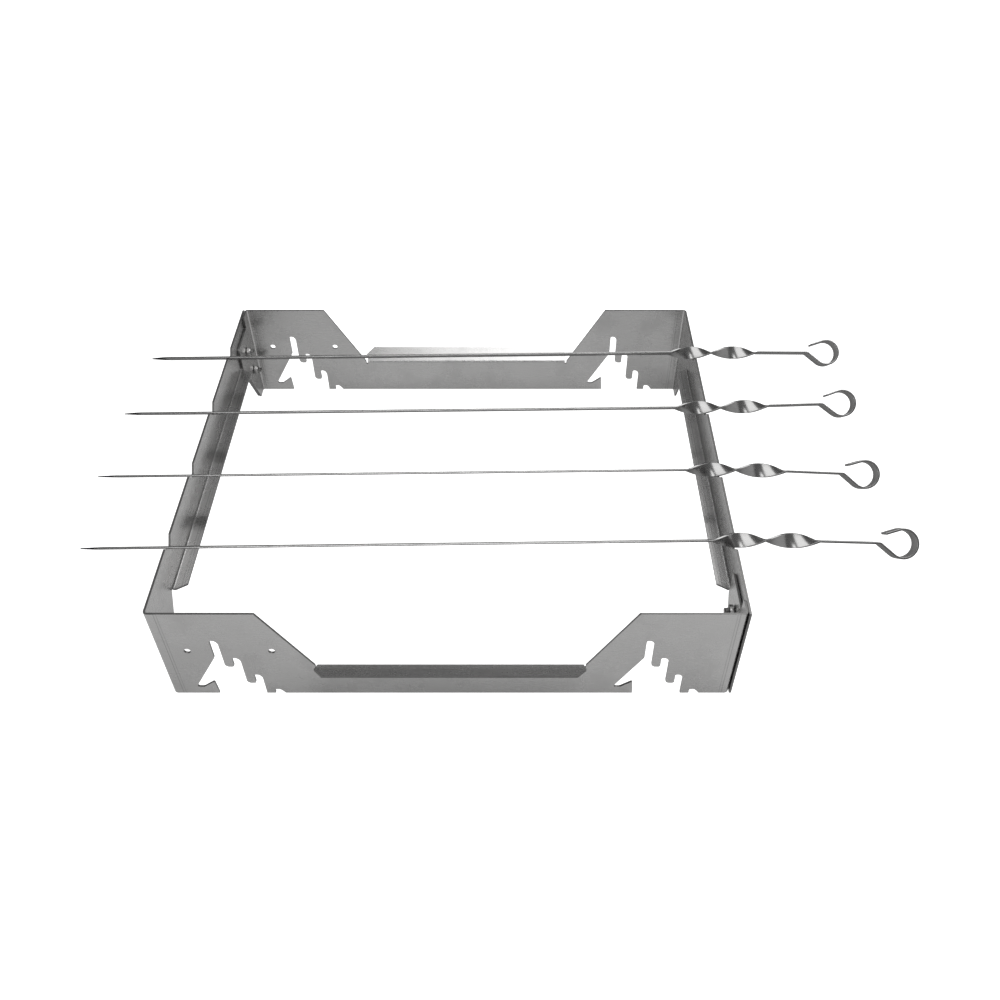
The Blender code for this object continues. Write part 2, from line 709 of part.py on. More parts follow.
def main():
    for stale in list(bpy.data.objects):
        bpy.data.objects.remove(stale, do_unlink=True)
    rack = bpy.data.objects.new("rack", None)
    bpy.context.scene.collection.objects.link(rack)
    rack.location = (FRAME_MIDDLE, 0, 0)
    build_frame(rack)
    build_fasteners(rack)
    build_skewers(rack)


main()
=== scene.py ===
"""Grill-top skewer rack: two bent, bolted sheets of satin steel that carry four bright twisted skewers."""

import logging
import math
from dataclasses import dataclass
from enum import Enum
from typing import Any

import bmesh
import bpy
from mathutils import Matrix, Vector
from mathutils.geometry import tessellate_polygon


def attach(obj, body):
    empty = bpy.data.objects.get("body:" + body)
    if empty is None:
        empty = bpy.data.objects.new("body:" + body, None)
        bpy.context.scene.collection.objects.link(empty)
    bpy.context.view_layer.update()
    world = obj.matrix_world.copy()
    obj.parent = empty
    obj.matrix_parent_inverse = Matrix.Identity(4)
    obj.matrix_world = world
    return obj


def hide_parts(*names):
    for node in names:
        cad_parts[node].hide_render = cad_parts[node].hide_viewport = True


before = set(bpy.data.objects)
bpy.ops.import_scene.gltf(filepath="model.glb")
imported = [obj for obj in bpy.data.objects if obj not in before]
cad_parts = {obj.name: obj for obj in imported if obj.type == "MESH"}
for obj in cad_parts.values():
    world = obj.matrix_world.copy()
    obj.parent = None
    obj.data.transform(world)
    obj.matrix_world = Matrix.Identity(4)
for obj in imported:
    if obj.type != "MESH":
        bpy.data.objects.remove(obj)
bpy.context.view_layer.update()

logging.basicConfig(level=logging.INFO, format="%(message)s")
LOG = logging.getLogger("skewer_rack")

Corner = tuple[float, float, float]
Point2 = tuple[float, float]


# ---------------------------------------------------------------- shader maths

@dataclass
class Wire:
    """A shader socket that takes part in Python arithmetic.

    Args:
        tree: The node tree the socket belongs to.
        socket: The output socket.
    """

    tree: bpy.types.NodeTree
    socket: bpy.types.NodeSocket

    def _maths(self, operation: str, first: Any, second: Any) -> "Wire":
        """Adds a Math node.

        Args:
            operation: The node's operation.
            first: Its first value or wire.
            second: Its second value or wire.

        Returns:
            The node's result.
        """
        node = self.tree.nodes.new("ShaderNodeMath")
        node.operation = operation
        for slot, value in zip(node.inputs, (first, second)):
            if isinstance(value, Wire):
                self.tree.links.new(value.socket, slot)
            else:
                slot.default_value = value
        return Wire(self.tree, node.outputs[0])

    def __add__(self, other: Any) -> "Wire":
        """Sum."""
        return self._maths("ADD", self, other)

    def __radd__(self, other: Any) -> "Wire":
        """Sum, reflected."""
        return self._maths("ADD", other, self)

    def __sub__(self, other: Any) -> "Wire":
        """Difference."""
        return self._maths("SUBTRACT", self, other)

    def __rsub__(self, other: Any) -> "Wire":
        """Difference, reflected."""
        return self._maths("SUBTRACT", other, self)

    def __mul__(self, other: Any) -> "Wire":
        """Product."""
        return self._maths("MULTIPLY", self, other)

    def __rmul__(self, other: Any) -> "Wire":
        """Product, reflected."""
        return self._maths("MULTIPLY", other, self)

    def size(self) -> "Wire":
        """The value without its sign."""
        return self._maths("ABSOLUTE", self, 0.0)


class NodeTree:
    """A node tree that nodes are added to."""

    def __init__(self, tree: bpy.types.NodeTree) -> None:
        """Keeps the tree."""
        self.tree = tree

    def add(self, kind: str, settings: dict[str, Any] | None = None,
            sockets: dict[Any, Any] | None = None) -> bpy.types.Node:
        """Adds a node, with its settings first and then its sockets.

        Args:
            kind: The node's type.
            settings: Attributes of the node.
            sockets: Values, wires or output sockets by input name or number.

        Returns:
            The node.
        """
        node = self.tree.nodes.new(kind)
        for key, value in (settings or {}).items():
            setattr(node, key, value)
        for key, value in (sockets or {}).items():
            if isinstance(value, Wire):
                value = value.socket
            if isinstance(value, bpy.types.NodeSocket):
                self.tree.links.new(value, node.inputs[key])
            else:
                node.inputs[key].default_value = value
        return node


class Finishing(NodeTree):
    """Builds one material's nodes."""

    def __init__(self, name: str) -> None:
        """Starts a material with one shader.

        Args:
            name: The material's name.
        """
        self.material = bpy.data.materials.new(name)
        self.material.use_nodes = True
        super().__init__(self.material.node_tree)
        self.shader = self.tree.nodes["Principled BSDF"]

    def node(self, kind: str, settings: dict[str, Any] | None = None, sockets: dict[Any, Any] | None = None,
             output: int | str = 0) -> Wire:
        """Adds a node as add does, and hands back the chosen output."""
        return Wire(self.tree, self.add(kind, settings, sockets).outputs[output])

    def parts(self, vector: Wire) -> list[Wire]:
        """The three coordinates of a vector."""
        return [Wire(self.tree, part) for part in self.add("ShaderNodeSeparateXYZ", {}, {0: vector}).outputs]

    def place(self, scale: tuple[float, float, float] = (1, 1, 1)) -> Wire:
        """Object coordinates, stretched along each axis."""
        where = self.node("ShaderNodeTexCoord", output="Object")
        return self.node("ShaderNodeMapping", {}, {"Vector": where, "Scale": scale})

    def noise(self, where: Wire, scale: float, detail: float = 4.0, roughness: float = 0.55) -> Wire:
        """A cloudy pattern between nought and one, by its fineness and its octaves."""
        return self.node("ShaderNodeTexNoise", {}, {
            "Vector": where, "Scale": scale, "Detail": detail, "Roughness": roughness})

    def spread(self, value: Wire, low: float, high: float, to_low: float, to_high: float) -> Wire:
        """Maps the range from low to high onto another and stays within it."""
        return self.node("ShaderNodeMapRange", {"clamp": True}, {
            0: value, 1: low, 2: high, 3: to_low, 4: to_high})

    def grey(self, value: Wire, warmth: float = 0.0) -> Wire:
        """A nearly neutral colour of this lightness, with less blue by its warmth."""
        return self.node("ShaderNodeCombineColor", {}, {
            0: value, 1: value * (1 - warmth / 2), 2: value * (1 - warmth)})

    def finish(self, colour: Wire, roughness: Wire, height: Wire, depth: float) -> bpy.types.Material:
        """Joins the patterns to the shader.

        Args:
            colour: Base colour.
            roughness: Roughness.
            height: Pattern that shapes the surface.
            depth: How deep that pattern is, in metres.

        Returns:
            The material.
        """
        self.tree.links.new(colour.socket, self.shader.inputs["Base Color"])
        self.tree.links.new(roughness.socket, self.shader.inputs["Roughness"])
        self.shader.inputs["Metallic"].default_value = 1.0
        bump = self.node("ShaderNodeBump", {}, {"Height": height, "Distance": depth, "Strength": 1.0})
        self.tree.links.new(bump.socket, self.shader.inputs["Normal"])
        return self.material


# ---------------------------------------------------------------- finishes

@dataclass(frozen=True)
class RolledSheet:
    """Cold-rolled stainless sheet: satin, faintly cloudy, with handling smudges, fine scratches and painted
    shade lines beside the upright corners.

    Args:
        name: The material's name.
        lightness: Mean base lightness.
        gloss: Mean roughness.
        grain: Stretch of the rolling grain along each axis.
        middle: Place of the frame's middle along X.
        shade_lines: Distances of the painted bend shade lines from that middle.
        shade_line_reach: Half widths of a painted shade line where it starts to fade and where it ends.
    """

    name: str
    lightness: float = 0.47
    gloss: float = 0.27
    grain: tuple[float, float, float] = (6.0, 6.0, 260.0)
    middle: float = -0.02781
    shade_lines: Point2 = (0.1807, 0.1790)
    shade_line_reach: Point2 = (0.00014, 0.00036)

    def make(self) -> bpy.types.Material:
        """Builds the material.

        Returns:
            The material.
        """
        work = Finishing(self.name)
        plain = work.place()
        cloud = work.noise(plain, 14.0, 3.0)
        smudge = work.spread(work.noise(plain, 38.0, 5.0, 0.62), 0.50, 0.72, 0.0, 1.0)
        grain = work.noise(work.place(self.grain), 9.0, 3.0, 0.6)
        fine = work.noise(plain, 900.0, 2.0)
        scratch = work.spread(work.noise(work.place((700.0, 700.0, 25.0)), 1.0, 2.0), 0.66, 0.74, 0.0, 1.0)
        light = self.lightness * (0.90 + 0.20 * cloud) * (0.96 + 0.08 * grain) * (1 - 0.10 * smudge)
        # Painted shade: darker lines beside the upright corners stand in for the shading of the bends.
        light = light * (1 - 0.30 * self.painted_bend_shade(work))
        rough = self.gloss + 0.05 * (cloud - 0.5) + 0.03 * smudge + 0.05 * (grain - 0.5) - 0.04 * scratch
        height = 0.5 * grain + 0.3 * fine + 0.2 * scratch
        return work.finish(work.grey(light, 0.012), rough, height, 0.000006)

    def painted_bend_shade(self, work: Finishing) -> Wire:
        """Painted shade: fine dark lines beside the upright corners, standing in for the shading of the bends.

        Args:
            work: The material being built.

        Returns:
            How strongly each place is darkened by painted shade, from nought to one.
        """
        reach = (work.parts(work.node("ShaderNodeTexCoord", output="Object"))[0] - self.middle).size()
        shade_lines = [work.spread((reach - place).size(), *self.shade_line_reach, 1.0, 0.0) for place in self.shade_lines]
        return shade_lines[0] + 0.7 * shade_lines[1]


@dataclass(frozen=True)
class SheetEdge:
    """The cut edges of the sheet: finely striated and darker than the faces.

    Args:
        name: The material's name.
        lightness: Mean base lightness.
    """

    name: str
    lightness: float = 0.18

    def make(self) -> bpy.types.Material:
        """Builds the material.

        Returns:
            The material.
        """
        work = Finishing(self.name)
        stripe = work.noise(work.place((1400.0, 1400.0, 1400.0)), 1.0, 3.0)
        cloud = work.noise(work.place(), 60.0, 3.0)
        light = self.lightness * (0.7 + 0.6 * stripe) * (0.85 + 0.3 * cloud)
        return work.finish(work.grey(light, 0.02), 0.30 + 0.25 * stripe, stripe, 0.00002)


@dataclass(frozen=True)
class PolishedStrip:
    """Bright polished skewer strip, with drawn lines along it and painted shade that darkens its point.

    Args:
        name: The material's name.
        lightness: Mean base lightness.
        gloss: Mean roughness.
        tip_shade_length: Length of the point darkened by painted shade, in metres.
        tip_shade_fade: Length over which the painted shade ends.
        edge_tint: Lightness of what it mirrors at a glancing angle.
    """

    name: str
    lightness: float = 0.30
    gloss: float = 0.23
    tip_shade_length: float = 0.012
    tip_shade_fade: float = 0.004
    edge_tint: float = 0.4

    def make(self) -> bpy.types.Material:
        """Builds the material.

        Returns:
            The material.
        """
        work = Finishing(self.name)
        along = work.node("ShaderNodeAttribute", {"attribute_name": "along"}, output="Fac")
        section = work.node("ShaderNodeAttribute", {"attribute_name": "section"}, output="Vector")
        across, through, _ = work.parts(section)
        lines = work.node("ShaderNodeCombineXYZ", {}, {0: along * 12.0, 1: across * 900.0, 2: through * 900.0})
        drawn = work.noise(lines, 1.6, 3.0, 0.6)
        patches = work.node("ShaderNodeCombineXYZ", {}, {0: along * 70.0, 1: across * 60.0, 2: through})
        worn = work.noise(patches, 1.0, 4.0)
        blot = work.spread(worn, 0.48, 0.68, 0.0, 1.0)
        # Painted shade darkens the last stretch of the point; the same mask also roughens it.
        tip_shade_end = self.tip_shade_length + self.tip_shade_fade
        tip_shade = work.spread(along + self.tip_shade_fade * worn, self.tip_shade_length, tip_shade_end, 1.0, 0.0)
        light = self.lightness * (0.90 + 0.20 * drawn) * (1 - 0.14 * blot) * (1 - 0.82 * tip_shade)
        rough = self.gloss + 0.08 * (drawn - 0.5) + 0.10 * blot + 0.25 * tip_shade
        work.shader.inputs["Specular Tint"].default_value = (*[self.edge_tint] * 3, 1.0)
        return work.finish(work.grey(light, 0.01), rough, 0.7 * drawn + 0.3 * worn, 0.000008)


@dataclass(frozen=True)
class PlatedFastener:
    """Bright plating on a screw or a nut, turned round its axis and a little dirty.

    Args:
        name: The material's name.
        lightness: Mean base lightness.
        gloss: Mean roughness.
    """

    name: str
    lightness: float = 0.34
    gloss: float = 0.20

    def make(self) -> bpy.types.Material:
        """Builds the material.

        Returns:
            The material.
        """
        work = Finishing(self.name)
        turned = work.noise(work.place((2200.0, 240.0, 240.0)), 1.0, 3.0)
        dirt = work.spread(work.noise(work.place(), 420.0, 4.0), 0.45, 0.7, 0.0, 1.0)
        light = self.lightness * (0.85 + 0.3 * turned) * (1 - 0.3 * dirt)
        return work.finish(work.grey(light, 0.015), self.gloss + 0.12 * turned + 0.15 * dirt, turned, 0.000015)


@dataclass(frozen=True)
class PaleFloor:
    """Matt white floor.

    Args:
        name: The material's name.
        lightness: Base lightness.
        glow: How much light it gives off itself as a mirror sees it; a lens sees a glow of one.
    """

    name: str
    lightness: float = 0.6
    glow: float = 0.2

    def make(self) -> bpy.types.Material:
        """Builds the material.

        Returns:
            The material.
        """
        work = Finishing(self.name)
        work.shader.inputs["Base Color"].default_value = (*[self.lightness] * 3, 1.0)
        work.shader.inputs["Roughness"].default_value = 0.9
        seen = work.node("ShaderNodeLightPath", output="Is Camera Ray")
        colour = work.grey(self.glow + (1 - self.glow) * seen)
        work.tree.links.new(colour.socket, work.shader.inputs["Emission Color"])
        work.shader.inputs["Emission Strength"].default_value = 1.0
        return work.material


# ---------------------------------------------------------------- shapes

def turned(x: float, z: float, angle: float) -> Point2:
    """A point turned about the origin by an angle in radians."""
    return x * math.cos(angle) - z * math.sin(angle), x * math.sin(angle) + z * math.cos(angle)


def circle(centre_x: float, centre_z: float, radius: float, steps: int) -> list[Point2]:
    """The points of a full circle, in steps of equal length."""
    around = [turned(radius, 0.0, math.tau * step / steps) for step in range(steps)]
    return [(centre_x + x, centre_z + z) for x, z in around]


def filleted(corners: list[Corner], steps: int) -> list[Point2]:
    """Rounds the corners of an outline.

    Args:
        corners: (x, z, radius) of each corner.
        steps: Points along each rounding.

    Returns:
        The outline's points.
    """
    points: list[Point2] = []
    for index, (x, z, radius) in enumerate(corners):
        here = Vector((x, z))
        before = Vector(corners[index - 1][:2]) - here
        after = Vector(corners[(index + 1) % len(corners)][:2]) - here
        if radius <= 0:
            points.append((x, z))
            continue
        half = before.angle(after) / 2
        cut = min(radius / math.tan(half), before.length * 0.49, after.length * 0.49)
        start = here + before.normalized() * cut
        end = here + after.normalized() * cut
        centre = here + (before.normalized() + after.normalized()).normalized() * (cut / math.cos(half))
        first = start - centre
        sweep = first.angle_signed(end - centre)
        for step in range(steps + 1):
            moved = turned(first.x, first.y, -sweep * step / steps)
            points.append((centre.x + moved[0], centre.y + moved[1]))
    return points


def linked(name: str, data: bpy.types.ID) -> bpy.types.Object:
    """Makes an object and links it into the scene.

    Args:
        name: The object's name.
        data: The mesh, camera or light that it shows.

    Returns:
        The object.
    """
    piece = bpy.data.objects.new(name, data)
    bpy.context.scene.collection.objects.link(piece)
    return piece


def into_object(name: str, shape: bmesh.types.BMesh, materials: list[bpy.types.Material],
                sharp: float = 30.0) -> bpy.types.Object:
    """Turns a bmesh into a smooth-shaded object at the origin.

    Args:
        name: The object's name.
        shape: The bmesh, which is freed.
        materials: Its materials.
        sharp: Angle in degrees past which an edge stays sharp.

    Returns:
        The object.
    """
    mesh = bpy.data.meshes.new(name)
    shape.to_mesh(mesh)
    shape.free()
    mesh.shade_smooth()
    mesh.set_sharp_from_angle(angle=math.radians(sharp))
    for material in materials:
        mesh.materials.append(material)
    return linked(name, mesh)


# ---------------------------------------------------------------- the rack's sheets

class Half(Enum):
    """The two frame halves, by the walls they form."""

    FRONT_LEFT = "frame_front_left"
    REAR_RIGHT = "frame_rear_right"


@dataclass
class SheetFrame:
    """The two bent halves of the frame. Sizes are in metres.

    Args:
        middle: Place of the frame's middle along X.
        width: Overall width.
        depth: Overall depth.
        height: Overall height.
        sheet: Thickness of the sheet.
    """

    middle: float = -0.02781
    width: float = 0.375
    depth: float = 0.327
    height: float = 0.084
    sheet: float = 0.0015
    gap: float = 0.0003
    corner_radius: float = 0.0015
    fold_radius: float = 0.001
    slope: float = math.radians(30)
    ear_width: float = 0.0685
    strip_height: float = 0.0295
    lip_lengths: Point2 = (0.0076, 0.0074)
    lip_angles: Point2 = (math.radians(65), math.radians(6))
    lip_end_flare: float = 0.0005
    lip_end_chamfer: float = 0.0060
    relief_width: float = 0.0014
    relief_depth: float = 0.0010
    band_depth: float = 0.0290
    leg_foot: float = 0.0112
    shelf_reach: float = 0.0090
    shelf_chamfer_start: float = 0.0020
    shelf_chamfer: float = 0.0044
    tab_setback: float = 0.0005
    tab_shoulder: float = 0.0300
    tab_drop: float = 0.0105
    tab_step: float = 0.0120
    slot_width: float = 0.0052
    slot_top: float = 0.0572
    slot_pitch: float = 0.0111
    slot_step: float = 0.0182
    slot_count: int = 4
    last_slot_top: float = 0.0043
    tooth_drop: float = 0.0276
    slot_throat: float = 0.0395
    slot_insets: Point2 = (0.0380, 0.0594)
    hook_neck: float = 0.0072
    hook_tip: Point2 = (0.0081, 0.0130)
    hook_seat: Corner = (0.0160, 0.0212, 0.0068)
    hook_seat_radius: float = 0.0024
    tooth_radii: Point2 = (0.0034, 0.0014)
    slot_top_radii: Point2 = (0.0012, 0.0030)
    slot_ease: Point2 = (0.0016, 0.0034)
    hole_radius: float = 0.00225
    hole_height: float = 0.0466
    hole_insets: Point2 = (0.0195, 0.0736)
    bolts: tuple[Point2, Point2] = ((0.0240, 0.0580), (0.0150, 0.0320))
    bolt_hole_radius: float = 0.0023
    notch_depth: float = 0.0070
    notch_pitch: float = 0.0684
    notch_count: int = 4
    fillet_steps: int = 8
    fold_steps: int = 8
    crease_steps: int = 2
    corner_steps: int = 20
    hole_steps: int = 32

    def __post_init__(self) -> None:
        """Works out the sizes that follow from the fields."""
        self.corner_outer = self.corner_radius + self.sheet
        self.corner_length = self.fold_length(math.pi / 2, self.corner_radius)
        self.side_fold_x = -self.width / 2 + self.corner_outer
        self.tab_fold_x = self.width / 2 - self.sheet - self.gap - self.corner_outer
        self.shelf_fold_z = self.height - self.band_depth + self.fold_radius
        self.shelf_fold_length = self.fold_length(math.pi / 2, self.fold_radius)
        self.leg_top = self.leg_foot + self.shelf_fold_z * math.tan(self.slope)
        self.tab_length = self.leg_top - self.tab_setback
        self.ear_foot = self.ear_width + (self.height - self.strip_height) * math.tan(self.slope)
        self.lip_fold_length = self.fold_length(self.lip_angles[0], self.fold_radius)
        self.lip_second_z = self.strip_height + self.lip_lengths[0]

    def fold_length(self, angle: float, radius: float) -> float:
        """Length of flat sheet that a fold of this angle and inner radius takes up."""
        return angle * (radius + self.sheet / 2)

    def side_x(self, distance: float) -> float:
        """Place on the flat of a point of the side wall, this far from the long wall."""
        return self.side_fold_x - self.corner_length - (distance - self.corner_outer)

    def tab_x(self, distance: float) -> float:
        """Place on the flat of a point of the tab, this far from the long wall."""
        return self.tab_fold_x + self.corner_length + (distance - self.corner_outer)

    def comb(self, slot_x: float, way: int) -> list[Corner]:
        """Corners of one stepped cut-out.

        Args:
            slot_x: Place of its tallest slot.
            way: Direction in which its slots step down, 1 or -1.

        Returns:
            The corners in order of x.
        """
        half = self.slot_width / 2
        near, far, seat = self.hook_seat
        corners = [
            (-self.hook_neck, 0.0, 0.0),
            (-self.hook_tip[0], self.hook_tip[1], 0.0007),
            (-near, seat, self.hook_seat_radius),
            (-far, seat, self.hook_seat_radius),
            (-half, self.slot_throat, 0.0025),
        ]
        for index in range(self.slot_count):
            centre = self.slot_pitch * index
            top = max(self.slot_top - self.slot_step * index, self.last_slot_top)
            tooth = max(self.slot_top - self.slot_step * index - self.tooth_drop, 0.0)
            corners.append((centre - half, top, self.slot_top_radii[0]))
            corners.append((centre + half - self.slot_ease[0], top, self.slot_top_radii[1]))
            if index == self.slot_count - 1:
                corners.append((centre + half + self.slot_ease[0], 0.0, 0.0))
                break
            corners.append((centre + half, top - self.slot_ease[1], self.slot_top_radii[1]))
            corners.append((centre + half, tooth, self.tooth_radii[0] if tooth else 0.0))
            corners.append((centre + self.slot_pitch - half, tooth, self.tooth_radii[1] if tooth else 0.0))
        placed = [(slot_x + way * x, z, radius) for x, z, radius in corners]
        return placed if way > 0 else placed[::-1]

    def shelf(self) -> list[Corner]:
        """Corners of the side wall's lower edge, from its far leg to its near leg.

        Returns:
            The corners, as (x, z, radius).
        """
        relief = self.shelf_fold_z + self.relief_depth
        end = self.leg_top + self.relief_width
        flat_end = self.shelf_fold_z - self.shelf_fold_length
        near = [
            (end + self.shelf_chamfer, flat_end - (self.shelf_reach - self.fold_radius)),
            (end, flat_end - (self.shelf_chamfer_start - self.fold_radius)),
            (end, relief),
            (self.leg_top, relief),
            (self.leg_top, self.shelf_fold_z),
            (self.leg_foot, 0.0),
        ]
        far = [(self.depth - distance, z) for distance, z in reversed(near)]
        return [(self.side_x(distance), z, 0.0) for distance, z in [(self.depth, 0.0)] + far + near]

    def tab(self) -> list[Corner]:
        """Corners of the tab, from its foot to its top.

        Returns:
            The corners, as (x, z, radius).
        """
        shoulder = self.height - self.tab_shoulder
        top = self.height - self.tab_drop
        return [
            (self.tab_x(self.tab_length - shoulder * math.tan(self.slope)), 0.0, 0.0),
            (self.tab_x(self.tab_length), shoulder, 0.001),
            (self.tab_x(self.tab_length), top, 0.0015),
            (self.tab_x(self.tab_step), top, 0.0008),
            (self.tab_x(self.tab_step), self.height, 0.001),
        ]

    def lip(self) -> list[Corner]:
        """Corners of the long wall's top edge, from its right ear to its left ear.

        Returns:
            The corners, as (x, z, radius).
        """
        half = self.width / 2
        foot = half - self.ear_foot
        slack = self.relief_width / 2
        relief = self.strip_height - self.relief_depth
        right = [
            (half - self.ear_width, self.height, 0.001),
            (foot + slack, self.strip_height + slack / math.tan(self.slope), 0.0),
            (foot + slack, relief, 0.0),
            (foot - slack, relief, 0.0),
            (foot - slack, self.strip_height + self.lip_fold_length, 0.0),
            (foot + self.lip_end_flare, self.lip_second_z, 0.0),
            (foot + self.lip_end_flare - self.lip_end_chamfer, self.lip_second_z + self.lip_lengths[1], 0.001),
        ]
        return right + [(-x, z, radius) for x, z, radius in reversed(right)]

    def outline(self, half: Half) -> list[Corner]:
        """Corners of a half's flat blank.

        Args:
            half: Which half.

        Returns:
            The corners, round the blank.
        """
        way = 1 if half is Half.FRONT_LEFT else -1
        left = way * (-self.width / 2 + self.slot_insets[0])
        right = way * (self.width / 2 - self.slot_insets[1])
        corners = self.shelf()
        for slot_x in sorted((left, right)):
            corners.extend(self.comb(slot_x, way))
        corners.extend(self.tab())
        corners.extend(self.lip())
        for index in range(self.notch_count):
            offset = self.notch_pitch * ((self.notch_count - 1) / 2 - index)
            distance = self.depth / 2 - offset
            corners.append((self.side_x(distance - self.notch_depth), self.height, 0.0))
            corners.append((self.side_x(distance), self.height - self.notch_depth, 0.0))
            corners.append((self.side_x(distance + self.notch_depth), self.height, 0.0))
        corners.append((self.side_x(self.depth), self.height, 0.001))
        return corners

    def holes(self, half: Half) -> list[list[Point2]]:
        """Round holes of a half's flat blank.

        Args:
            half: Which half.

        Returns:
            The holes' outlines.
        """
        way = 1 if half is Half.FRONT_LEFT else -1
        centres = [(way * (inset - self.width / 2), self.hole_height, self.hole_radius)
                   for inset in self.hole_insets]
        for inset, height in self.bolts:
            centres.append((self.tab_x(inset), height, self.bolt_hole_radius))
            centres.append((self.side_x(self.depth - inset), height, self.bolt_hole_radius))
        return [circle(*centre, self.hole_steps) for centre in centres]

    def blank(self, half: Half) -> bmesh.types.BMesh:
        """The flat sheet, with its cut edges in the second material.

        Args:
            half: Which half.

        Returns:
            The closed plate, from y = 0 to y = sheet.
        """
        loops = [filleted(self.outline(half), self.fillet_steps)] + self.holes(half)
        faces = tessellate_polygon([[Vector((x, z, 0)) for x, z in loop] for loop in loops])
        shape = bmesh.new()
        flat = [(x, z) for loop in loops for x, z in loop]
        front = [shape.verts.new((x, 0.0, z)) for x, z in flat]
        back = [shape.verts.new((x, self.sheet, z)) for x, z in flat]
        for face in faces:
            shape.faces.new([front[index] for index in face])
            shape.faces.new([back[index] for index in reversed(face)])
        start = 0
        for loop in loops:
            for step in range(len(loop)):
                a, b = start + step, start + (step + 1) % len(loop)
                side = shape.faces.new((front[a], front[b], back[b], back[a]))
                side.material_index = 1
            start += len(loop)
        bmesh.ops.recalc_face_normals(shape, faces=shape.faces)
        return shape

    def cut_zone(self, shape: bmesh.types.BMesh, axis: int, start: float, length: float, steps: int) -> None:
        """Cuts the blank across a fold's zone, so that it can bend there.

        Args:
            shape: The blank.
            axis: Axis across the fold line.
            start: Start of the zone.
            length: Its signed length.
            steps: Number of strips.
        """
        normal = Vector((0, 0, 0))
        normal[axis] = 1
        for step in range(steps + 1):
            point = Vector((0, 0, 0))
            point[axis] = start + length * step / steps
            geometry = shape.verts[:] + shape.edges[:] + shape.faces[:]
            bmesh.ops.bisect_plane(shape, geom=geometry, dist=1e-7, plane_co=point, plane_no=normal)

    def fold(self, along: float, across: float, start: float, way: int, angle: float, radius: float,
             inward: bool) -> Point2:
        """Folds one point.

        Args:
            along: Coordinate across the fold line.
            across: Coordinate through the sheet.
            start: Where the fold begins.
            way: Side that moves, 1 or -1.
            angle: How far it turns.
            radius: Inner radius.
            inward: Whether it turns towards +across.

        Returns:
            The point's new two coordinates.
        """
        past = (along - start) * way
        if past <= 0:
            return along, across
        centre = self.sheet + radius if inward else -radius
        side = 1 if inward else -1
        arm = (centre - across) * side
        length = self.fold_length(angle, radius)
        turn = angle * min(past / length, 1)
        rest = max(past - length, 0)
        new_along = start + way * (arm * math.sin(turn) + rest * math.cos(turn))
        return new_along, centre - side * (arm * math.cos(turn) - rest * math.sin(turn))

    def bend(self, shape: bmesh.types.BMesh, half: Half) -> None:
        """Folds the lip, the shelf and the two upright corners, and puts the half in its place.

        Args:
            shape: The flat blank.
            half: Which half.
        """
        crease_length = self.fold_length(self.lip_angles[1], self.fold_radius)
        self.cut_zone(shape, 2, self.strip_height, self.lip_fold_length, self.fold_steps)
        self.cut_zone(shape, 2, self.lip_second_z, crease_length, self.crease_steps)
        self.cut_zone(shape, 2, self.shelf_fold_z, -self.shelf_fold_length, self.fold_steps)
        self.cut_zone(shape, 0, self.side_fold_x, -self.corner_length, self.corner_steps)
        self.cut_zone(shape, 0, self.tab_fold_x, self.corner_length, self.corner_steps)
        shelf_end = self.leg_top + self.relief_width / 2
        sign = 1 if half is Half.FRONT_LEFT else -1
        for vertex in shape.verts:
            x, y, z = vertex.co
            ear_edge = self.width / 2 - self.ear_foot + (z - self.strip_height) * math.tan(self.slope)
            if z > self.strip_height and abs(x) < ear_edge - self.relief_width / 4:
                z, y = self.fold(z, y, self.lip_second_z, 1, self.lip_angles[1], self.fold_radius, False)
                z, y = self.fold(z, y, self.strip_height, 1, self.lip_angles[0], self.fold_radius, False)
            if self.side_x(self.depth - shelf_end) < x < self.side_x(shelf_end):
                z, y = self.fold(z, y, self.shelf_fold_z, -1, math.pi / 2, self.fold_radius, True)
            x, y = self.fold(x, y, self.side_fold_x, -1, math.pi / 2, self.corner_radius, True)
            x, y = self.fold(x, y, self.tab_fold_x, 1, math.pi / 2, self.corner_radius, True)
            vertex.co = (sign * x + self.middle, sign * (y - self.depth / 2), z)
        bmesh.ops.recalc_face_normals(shape, faces=shape.faces)

    def build(self, face: RolledSheet, edge: SheetEdge) -> None:
        """Builds both halves.

        Args:
            face: Finish of the faces.
            edge: Finish of the cut edges.
        """
        materials = [face.make(), edge.make()]
        for half in Half:
            shape = self.blank(half)
            self.bend(shape, half)
            piece = into_object(half.value + "_sheet", shape, materials)
            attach(piece, "rack")
            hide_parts(half.value)
            LOG.info("%s: %d faces", piece.name, len(piece.data.polygons))


# ---------------------------------------------------------------- node trees for shapes

